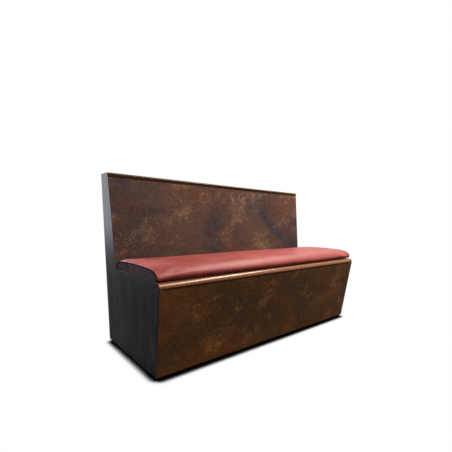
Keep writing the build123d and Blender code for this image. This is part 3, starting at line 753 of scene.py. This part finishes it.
@dataclass
class SeatCushion:
    """The loose cushion: a padded sleeve, two D-shaped ends, welts, stitches and a turned-in hem."""

    body: str = "cushion"
    rear_y: float = 158 * MM  # the sleeve's rear edge
    hem_bottom: float = 434.6 * MM
    half: float = 744.6 * MM  # of the sleeve's length
    crown_mid: float = 1.014  # the section's height at mid length, as a share of its height at a seam
    crown_fall: float = 0.014
    end_reach: float = 13 * MM  # how far in from a seam the sleeve fills out
    draw_in: tuple[float, float] = (10 * MM, 4 * MM)  # how much smaller it is at the left and right seam
    foot: float = 16 * MM  # the height below which the drawing in fades away
    spacing: float = 7 * MM
    vinyl: float = 1.2 * MM
    frames: int = 20  # of simulation
    swell: float = 5 * MM  # the simulation may lift the sleeve by this much from its smaller start
    swell_reach: float = 45 * MM
    swell_power: float = 0.7
    sleeve_rounds: int = 3  # of smoothing after the simulation
    pucker: float = 0.4 * MM  # the depth of the puckers beside a seam
    pucker_reach: float = 14 * MM
    pucker_start: float = 5 * MM
    pucker_pitch: float = 18 * MM
    pucker_drift: float = 31 * MM
    pucker_wander: float = 1.3
    seam_inset: float = 1.2 * MM  # how far inside the sleeve's edge an end and its welt are sewn
    end_spacing: float = 6 * MM
    end_rows: int = 12
    end_first: float = 0.03  # the share of the way up at which the first row above the bottom lies
    end_gap: float = 0.4 * MM  # from the hem below an end panel and the seam beside it
    end_under: tuple[float, ...] = (10 * MM, 2 * MM)  # how far the rows that turn under lie inside
    end_bulge: float = 5.5 * MM
    end_rounds: int = 6
    welt_spacing: float = 3 * MM
    welt_radius: float = 2.2 * MM
    welt_x: float = 745.8 * MM
    welt_dip: float = 0.2 * MM
    hem_width: float = 38 * MM
    hem_inset: float = 8 * MM
    hem_rows: int = 5
    hem_steps: int = 40  # along each side
    stitch_inset: float = 9 * MM
    stitch_margin: float = 12 * MM
    stitch_pitch: float = 5.5 * MM
    stitch_length: float = 4.0 * MM
    stitch_radius: float = 0.45 * MM
    stitch_rise: float = 0.6  # how far its centre stands over the sleeve, as a share of its radius
    stitch_points: int = 6  # along a stitch, and as many around it

    def corners(self) -> np.ndarray:
        """The section's polygon as (distance in front of the rear edge, height)."""
        return np.array(
            [[0, 0], [0, 14], [0.5, 27], [10, 38], [36, 49.5], [86, 56], [160, 59], [232, 60],
             [312, 59.2], [374, 57], [416, 50.5], [441, 35], [451, 19], [445, 7], [431, 1.2], [424, 0]]
        ) * MM

    def section(self, x: np.ndarray, line: np.ndarray) -> np.ndarray:
        """Lays the section's line at each x.

        With s = |x| / half and e = exp(-(half - |x|) / reach), the height is scaled by
        crown = mid - fall s^2, and then each point moves inwards, square to the line, by
        draw e min(1, height / foot), with draw going evenly from the left end's to the right end's.

        Args:
            x: m places along the length.
            line: n by 2 section points.

        Returns:
            m by n by 3 points.
        """
        s = np.clip(np.abs(x) / self.half, 0, 1)[:, None]
        near_end = np.exp(-(1 - s) * self.half / self.end_reach)
        crown = self.crown_mid - self.crown_fall * s**2
        tangent = unit(np.gradient(line, axis=0))
        draw = np.interp(x, (-self.half, self.half), self.draw_in)[:, None]
        drawn = draw * near_end * np.minimum(1, line[:, 1] / self.foot)
        y = self.rear_y - (line[:, 0] + drawn * tangent[:, 1])
        z = self.hem_bottom + line[:, 1] * crown - drawn * tangent[:, 0]
        return np.stack([np.broadcast_to(x[:, None], y.shape), y, z], axis=-1)

    def seam(self, side: int, spacing: float) -> np.ndarray:
        """The sleeve's edge at the left (-1) or right (1) end, as points that far apart."""
        return self.section(np.array([side * self.half]), smooth_curve(self.corners(), spacing))[0]

    def inward(self, points: np.ndarray, distance: np.ndarray) -> np.ndarray:
        """Moves grid points down along the surface's normal, the cross product of its two directions.

        Args:
            points: rows by columns by 3 points.
            distance: how far each one moves.

        Returns:
            The moved points.
        """
        along, across = np.gradient(points, axis=0), np.gradient(points, axis=1)
        normal = unit(np.cross(along, across))
        return points - normal * np.sign(normal[..., 2].mean()) * distance[..., None]

    def blown(
        self, name: str, points: np.ndarray, pinned: np.ndarray, limit: float, outward: Size
    ) -> np.ndarray:
        """Blows a sheet up by a cloth simulation that is pinned where it is sewn.

        Args:
            name: the working object's name.
            points: rows by columns by 3 start points.
            pinned: rows by columns, true where sewn.
            limit: the most that a point may move.
            outward: the way that the sheet looks.

        Returns:
            The moved points, in the same grid.
        """
        rows, columns = points.shape[:2]
        faces = grid_faces(rows, columns)
        flat = points.reshape(-1, 3)
        normals = np.cross(flat[faces[:, 2]] - flat[faces[:, 0]], flat[faces[:, 3]] - flat[faces[:, 1]])
        if normals.sum(axis=0) @ np.array(outward) < 0:
            faces = faces[:, ::-1]
        mesh = bpy.data.meshes.new(name)
        mesh.from_pydata(flat.tolist(), [], faces.tolist())
        sheet = put_in(name, mesh)
        group = sheet.vertex_groups.new(name="sewn")
        group.add(np.flatnonzero(pinned.reshape(-1)).tolist(), 1.0, "REPLACE")
        cloth = add_modifier(sheet, "CLOTH")
        for key, value in (VINYL_CLOTH | {"vertex_group_mass": group.name}).items():
            setattr(cloth.settings, key, value)
        cloth.settings.effector_weights.gravity = 0
        cloth.collision_settings.use_collision = False
        scene = bpy.context.scene
        cloth.point_cache.frame_start, cloth.point_cache.frame_end = 1, self.frames
        for step in range(1, self.frames + 1):
            scene.frame_set(step)
        graph = bpy.context.evaluated_depsgraph_get()
        final = bpy.data.meshes.new_from_object(sheet.evaluated_get(graph))
        flat = np.empty(len(final.vertices) * 3, np.float32)
        final.vertices.foreach_get("co", flat)
        moved = flat.reshape(rows, columns, 3).astype(float)
        bpy.data.objects.remove(sheet)
        bpy.data.meshes.remove(final)
        scene.frame_set(1)
        step = moved - points
        length = np.linalg.norm(step, axis=-1, keepdims=True)
        mean, most = length.mean() / MM, length.max() / MM
        log.info("%s: moved %.1f mm on average, %.1f mm at most", name, mean, most)
        return points + step * np.minimum(1, limit / np.maximum(length, 1e-9))

    def sleeve(self) -> tuple[Any, np.ndarray]:
        """The padded sleeve, simulated, with puckers that fade away from the sewn ends.

        Returns:
            The piece and its grid of points.
        """
        line = smooth_curve(self.corners(), self.spacing)
        count = round(2 * self.half / self.spacing) + 1
        x = np.linspace(-self.half, self.half, count)
        outer = self.section(x, line)
        rows, columns = outer.shape[:2]
        edge_x = (self.half - np.abs(x))[:, None]
        run = np.arange(columns)[None, :] * self.spacing
        edge_y = np.minimum(run, run[:, ::-1])
        edge = np.minimum(edge_x, edge_y)
        inset = self.swell * np.clip(edge / self.swell_reach, 0, 1) ** self.swell_power
        start = self.inward(outer, inset)
        points = self.blown("sleeve_work", start, edge < 1e-6, self.swell, (0, 0, 1))
        for _ in range(self.sleeve_rounds):
            along = points[:-2, 1:-1] + points[2:, 1:-1]
            points[1:-1, 1:-1] = (along + points[1:-1, :-2] + points[1:-1, 2:]) / 4
        fading = np.exp(-edge_x / self.pucker_reach) * np.clip(edge_x / self.pucker_start, 0, 1)
        wander = self.pucker_wander * np.sin(run / self.pucker_drift)
        wave = np.sin(math.tau * run / self.pucker_pitch + wander)
        points = self.inward(points, self.pucker * fading * wave)
        faces = grid_faces(rows, columns)
        piece = new_piece("cushion_sleeve", points.reshape(-1, 3), faces, Trim.SEAT, (0, 0, 1))
        add_modifier(piece, "SOLIDIFY", thickness=self.vinyl, offset=-1.0)
        add_modifier(piece, "SUBSURF", levels=1, render_levels=1)
        return piece, points

    def d_end(self, side: int) -> Any:
        """A D-shaped end panel: rows of points between the underside and the curved edge.

        A point is bottom + v (edge - bottom), with v from 0 to 1, and the first rows, where v is 0, turn in
        under the cushion; the simulation then bulges the panel outwards.

        Args:
            side: -1 for the left end and 1 for the right one.

        Returns:
            The piece.
        """
        ring = self.seam(side, self.end_spacing)
        ring = (ring - self.seam_inset * unit(ring - ring.mean(axis=0)))[1:-1]
        bottom = ring.copy()
        bottom[:, 1] = np.linspace(ring[0, 1], ring[-1, 1], len(ring))
        bottom[:, 2] = self.hem_bottom + self.end_gap
        turned = len(self.end_under)
        v = np.concatenate([np.zeros(turned), np.linspace(self.end_first, 1, self.end_rows)])
        flat = bottom[None] + v[:, None, None] * (ring - bottom)[None]
        inside = np.concatenate([self.end_under, np.full(self.end_rows, self.end_gap)])
        flat[..., 0] = side * (self.half - inside[:, None])
        pinned = np.ones(flat.shape[:2], bool)
        pinned[turned + 1 : -1, 1:-1] = False
        flat = self.blown("end_work", flat, pinned, self.end_bulge, (side, 0, 0))
        for _ in range(self.end_rounds):
            x = flat[turned:, :, 0]
            x[1:-1, 1:-1] = (x[:-2, 1:-1] + x[2:, 1:-1] + x[1:-1, :-2] + x[1:-1, 2:]) / 4
        name = "cushion_end_left" if side < 0 else "cushion_end_right"
        piece = new_piece(name, flat.reshape(-1, 3), grid_faces(*flat.shape[:2]), Trim.END, (side, 0, 0))
        add_modifier(piece, "SOLIDIFY", thickness=self.vinyl, offset=-1.0)
        add_modifier(piece, "SUBSURF", levels=1, render_levels=1)
        return piece

    def tube(self, path: np.ndarray, radius: float, around: int = 12) -> tuple[np.ndarray, np.ndarray]:
        """A round tube along a path in a plane of constant x, closed to a point at both ends.

        A point is path + r (cos a n + sin a x), with n the path's normal in the plane.

        Args:
            path: n by 3 points.
            radius: the tube's radius.
            around: the points around it.

        Returns:
            The points and the faces.
        """
        normal = np.cross(unit(np.gradient(path, axis=0)), ALONG)
        angle = np.linspace(0, math.tau, around, endpoint=False)
        radii = np.full(len(path), radius)
        radii[[0, -1]] = 0
        ring = np.cos(angle)[None, :, None] * normal[:, None] + np.sin(angle)[None, :, None] * ALONG
        points = path[:, None] + radii[:, None, None] * ring
        return points.reshape(-1, 3), grid_faces(len(path), around, True)

    def welt(self, side: int) -> Any:
        """The piping along a sewn end.

        Args:
            side: -1 for the left end and 1 for the right one.

        Returns:
            The piece.
        """
        ring = self.seam(side, self.welt_spacing)
        inward = np.cross(unit(np.gradient(ring, axis=0)), ALONG)
        inward *= np.sign(np.sum(inward * (ring.mean(axis=0) - ring), axis=1).mean())
        path = (ring + inward * self.seam_inset)[1:-1]
        path[:, 0] = side * self.welt_x
        path = np.vstack([path[:1], path, path[-1:]])
        path[[0, -1], 2] -= self.welt_dip
        name = "cushion_welt_left" if side < 0 else "cushion_welt_right"
        return new_piece(name, *self.tube(path, self.welt_radius), Trim.WELT)

    def hem(self) -> Any:
        """The leatherette turned in under the cushion: a flat mitred frame.

        A point is outer + v (inner - outer) round the rectangle, with v from 0 to 1.

        Returns:
            The piece.
        """
        front_y = self.rear_y - self.corners()[-1, 0]
        half = self.half - self.hem_inset
        outer = np.array([[-half, self.rear_y], [half, self.rear_y], [half, front_y], [-half, front_y]])
        signs = np.array([[1, -1], [-1, -1], [-1, 1], [1, 1]])
        inner = outer + signs * self.hem_width
        steps = np.linspace(0, 1, self.hem_steps, endpoint=False)[:, None]
        rings = [np.vstack([a + steps * (b - a) for a, b in zip(c, np.roll(c, -1, axis=0))])
                 for c in (outer, inner)]
        v = np.linspace(0, 1, self.hem_rows)[:, None, None]
        flat = rings[0][None] + v * (rings[1] - rings[0])[None]
        points = np.concatenate([flat, np.full(flat.shape[:2] + (1,), self.hem_bottom)], axis=-1)
        faces = grid_faces(self.hem_rows, len(rings[0]), True)
        piece = new_piece("cushion_hem", points.reshape(-1, 3), faces, Trim.SEAT, (0, 0, -1))
        add_modifier(piece, "SOLIDIFY", thickness=self.vinyl, offset=-1.0)
        return piece

    def stitches(self, grid: np.ndarray) -> Any:
        """Topstitching beside both welts: one thin capsule per stitch, laid on the sleeve.

        Args:
            grid: the sleeve's points.

        Returns:
            The piece.
        """
        step = 2 * self.half / (grid.shape[0] - 1)
        place = self.stitch_inset / step
        low, share = int(place), place - int(place)
        laid = []
        for side in (-1, 1):
            rows = grid if side < 0 else grid[::-1]
            line = rows[low] * (1 - share) + rows[low + 1] * share
            run = np.concatenate([[0], np.cumsum(np.linalg.norm(np.diff(line, axis=0), axis=1))])
            middles = np.arange(self.stitch_margin, run[-1] - self.stitch_margin, self.stitch_pitch)
            u = np.linspace(-0.5, 0.5, self.stitch_points)
            at = middles[:, None] + u[None] * self.stitch_length
            path = np.stack([np.interp(at, run, line[:, k]) for k in range(3)], axis=-1)
            normal = np.cross(ALONG, unit(path[:, -1] - path[:, 0]))
            normal *= np.sign(normal[:, 2].mean())
            path = path + normal[:, None] * self.stitch_radius * self.stitch_rise
            angle = np.linspace(0, math.tau, self.stitch_points, endpoint=False)
            radii = self.stitch_radius * np.sqrt(np.clip(1 - (2 * u) ** 4, 0, 1))
            ring = np.cos(angle)[:, None] * normal[:, None] + np.sin(angle)[:, None] * ALONG
            laid.append(path[:, :, None] + radii[None, :, None, None] * ring[:, None])
        points = np.concatenate(laid).reshape(-1, self.stitch_points**2, 3)
        quads = grid_faces(self.stitch_points, self.stitch_points, True)
        faces = quads[None] + np.arange(len(points))[:, None, None] * points.shape[1]
        return new_piece("cushion_topstitch", points.reshape(-1, 3), faces.reshape(-1, 4), Trim.THREAD)

    def build(self) -> None:
        """Makes every cushion piece, hides the solids that they stand for and dresses the others."""
        sleeve, grid = self.sleeve()
        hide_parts("cushion_cover", "cushion_foam")
        pieces = [sleeve, self.hem(), self.stitches(grid)]
        for side, word in ((-1, "left"), (1, "right")):
            end, welt = self.d_end(side), self.welt(side)
            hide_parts(f"cushion_{word}_end")
            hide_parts(f"cushion_{word}_piping")
            pieces += [end, welt]
        for piece in pieces:
            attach(piece, self.body)
            log.info("%s: %d faces", piece.name, len(piece.data.polygons))
        put_on("cushion_board", Trim.PANEL_BOARD)
        put_on("cushion_underside_cloth", Trim.CLOTH)
        put_on("cushion_loop_strips", Trim.TAPE)
        put_on("cushion_staples", Trim.STAPLE)


@dataclass(frozen=True)
class Lamp:
    """A rectangular soft lamp that faces a point."""

    name: str
    place: Size
    aim: Size
    size: tuple[float, float]
    power: float
    tint: str

    def hang(self) -> None:
        """Adds the lamp to the scene."""
        data = bpy.data.lights.new(self.name, "AREA")
        data.shape = "RECTANGLE"
        data.size, data.size_y = self.size
        data.energy = self.power
        data.color = linear(self.tint)[:3]
        turn = (Vector(self.place) - Vector(self.aim)).to_track_quat("Z", "Y")
        lamp = put_in(self.name, data)
        lamp.matrix_world = Matrix.Translation(self.place) @ turn.to_matrix().to_4x4()


@dataclass
class Studio:
    """A white room: the camera of the photograph, a pale floor and soft lamps."""

    eye: Size = (-1.2863, -1.3488, 0.6806)
    yaw: float = 40.028
    pitch: float = 9.863
    roll: float = 0.901
    sensor: float = 36.0
    focal: float = 299.82 / 452  # the focal length and the lens's rise are shares of the picture's width
    rise: float = 47.25 / 452
    clip: tuple[float, float] = (0.05, 60.0)
    fill: float = 0.22
    floor_half: float = 9.0
    floor_tint: str = "#aaa49e"
    shade_reach: float = 0.05  # how near a thing has to be to darken the floor
    shade: tuple[tuple[float, float], ...] = (  # the floor's brightness at each share of open sky
        (0.52, 0.001), (0.6, 0.008), (0.65, 0.03), (0.7, 0.12), (0.75, 0.3), (0.8, 0.6), (0.85, 0.85),
        (0.9, 0.95), (0.97, 1.0),
    )
    lamps: tuple[Lamp, ...] = (
        Lamp("overhead", (1.2, -0.7, 2.6), (0.2, -0.2, 0.4), (3.0, 0.85), 132.0, "#fff4e8"),
        Lamp("rear_left", (-2.1, 3.3, 1.13), (-0.75, 0.2, 0.6), (1.0, 1.54), 262.0, "#f2f5ff"),
    )

    def camera(self) -> None:
        """Stands the camera at the solved place, turned right by yaw, down by pitch and by roll."""
        yaw, pitch, roll = (math.radians(a) for a in (self.yaw, self.pitch, self.roll))
        level = math.cos(pitch)
        forward = Vector((math.sin(yaw) * level, math.cos(yaw) * level, -math.sin(pitch)))
        right = Vector((math.cos(yaw), -math.sin(yaw), 0))
        up = right.cross(forward)
        tilted_right = math.cos(roll) * right + math.sin(roll) * up
        tilted_up = -math.sin(roll) * right + math.cos(roll) * up
        data = bpy.data.cameras.new("camera")
        data.sensor_width = self.sensor
        data.lens = self.sensor * self.focal
        data.shift_y = self.rise
        data.clip_start, data.clip_end = self.clip
        turn = Matrix((tilted_right, tilted_up, -forward)).transposed()
        camera = put_in("camera", data)
        camera.matrix_world = Matrix.Translation(self.eye) @ turn.to_4x4()
        bpy.context.scene.camera = camera

    def shown(self, tree: Any) -> Any:
        """One for the rays that show the white room: the camera's, reflections and what is seen through.

        Args:
            tree: the node tree.

        Returns:
            The value socket, which is zero for all other rays.
        """
        kinds = ("Is Camera Ray", "Is Glossy Ray", "Is Transmission Ray")
        camera, glossy, through = (add(tree, "LightPath", out=kind) for kind in kinds)
        either = add(tree, "Math", {"operation": "MAXIMUM"}, {0: camera, 1: glossy})
        return add(tree, "Math", {"operation": "MAXIMUM"}, {0: either, 1: through})

    def floor(self) -> None:
        """A large white floor with a painted contact shadow where the banquette meets it.

        The floor that is seen is an emission that darkens, as painted shadow, with the share of the sky that
        something close above it hides.
        """
        corners = np.array([[-1, -1, 0], [1, -1, 0], [1, 1, 0], [-1, 1, 0]]) * self.floor_half
        mesh = bpy.data.meshes.new("studio_floor")
        mesh.from_pydata(corners.tolist(), [], [[0, 1, 2, 3]])
        floor = put_in("studio_floor", mesh)
        material = bpy.data.materials.new("studio_floor")
        tree = empty_tree(material)
        sky = add(tree, "AmbientOcclusion", {"samples": 16, "Distance": self.shade_reach}, out="AO")
        shade = add(tree, "ValToRGB", {"stops": self.shade}, {0: sky})
        seen = add(tree, "Emission", {"Strength": 1.0}, {"Color": shade})
        dull = add(tree, "BsdfDiffuse", {"Color": self.floor_tint})
        surface = add(tree, "MixShader", links={0: self.shown(tree), 1: dull, 2: seen})
        add(tree, "OutputMaterial", links={"Surface": surface})
        mesh.materials.append(material)

    def world(self) -> None:
        """A white surround for the camera and an even, softer one for the light."""
        world = bpy.data.worlds.new("studio")
        bpy.context.scene.world = world
        tree = empty_tree(world)
        span = {"To Min": self.fill, "To Max": 1.0}
        strength = add(tree, "MapRange", span, {"Value": self.shown(tree)})
        white = add(tree, "Background", {"Color": "#ffffff"}, {"Strength": strength})
        add(tree, "OutputWorld", links={"Surface": white})

    def build(self) -> None:
        """Sets the whole studio up."""
        self.camera()
        self.floor()
        self.world()
        for lamp in self.lamps:
            lamp.hang()
        bpy.context.scene.view_settings.view_transform = "Standard"
        log.info("studio ready")


def main() -> None:
    """Builds the sub-assemblies in order."""
    logging.basicConfig(level=logging.INFO, format="%(message)s")
    Carcass().dress()
    LevellingFeet().dress()
    SeatCushion().build()
    Studio().build()


if __name__ == "__main__":
    main()
